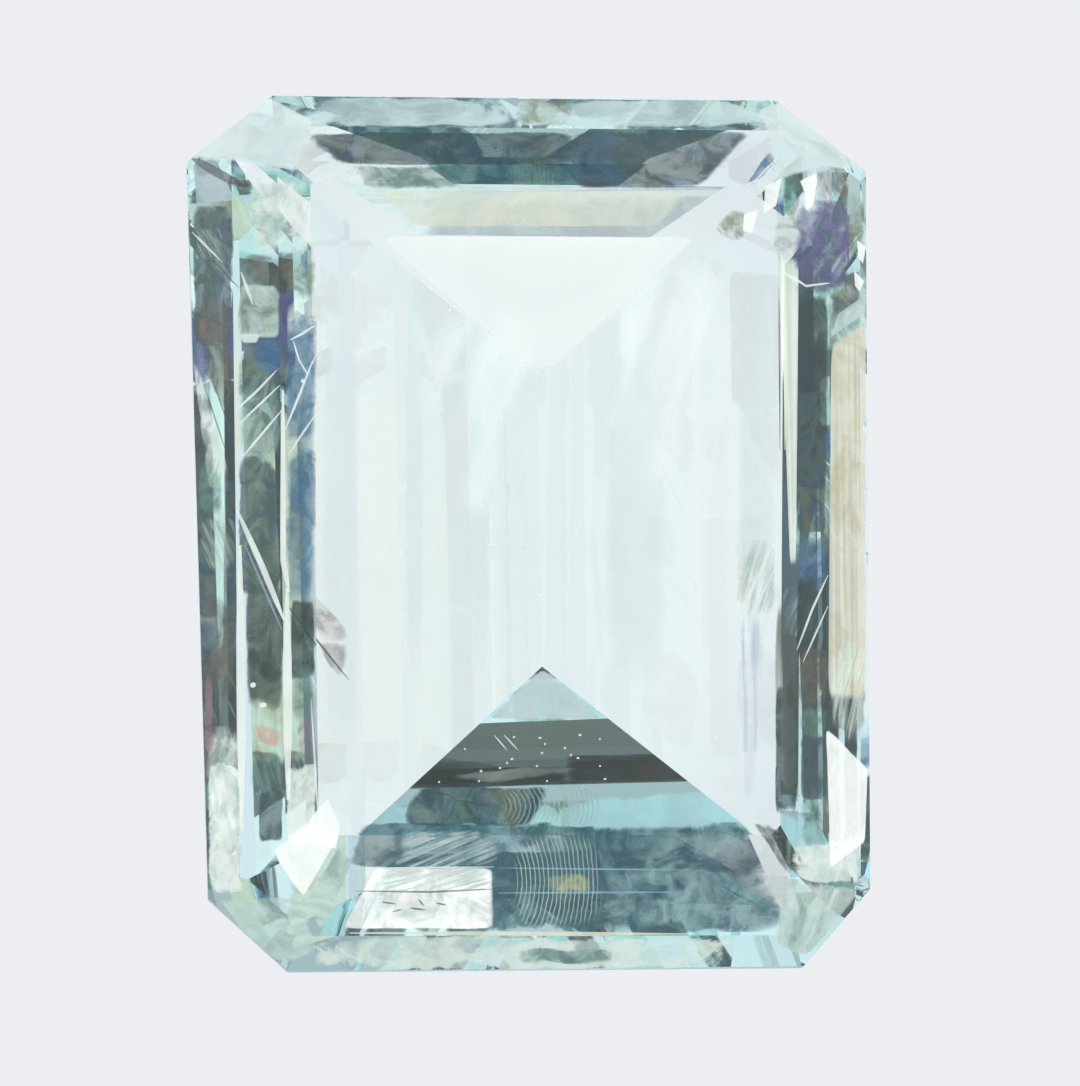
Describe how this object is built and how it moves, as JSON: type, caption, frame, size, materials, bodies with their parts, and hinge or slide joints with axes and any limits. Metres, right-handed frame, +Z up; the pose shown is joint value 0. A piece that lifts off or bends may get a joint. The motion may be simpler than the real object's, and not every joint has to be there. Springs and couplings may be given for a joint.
{
  "type": "faceted aquamarine gemstone",
  "caption": "Step-cut rectangular aquamarine with cut corners, clear pale blue, lying on a pavilion facet beside its keel.",
  "frame": {"origin": "middle of the stone's box, on the surface that it rests on", "axes": "+Z up from the resting surface; +Y along the stone's length, towards the end that is up in the picture; the table faces +X and up, 33 degrees from level"},
  "size_m": [0.0084, 0.0126, 0.0066],
  "materials": {
    "aquamarine": "polished"
  },
  "bodies": {
    "root": {"aquamarine": "aquamarine"}
  },
  "joints": []
}
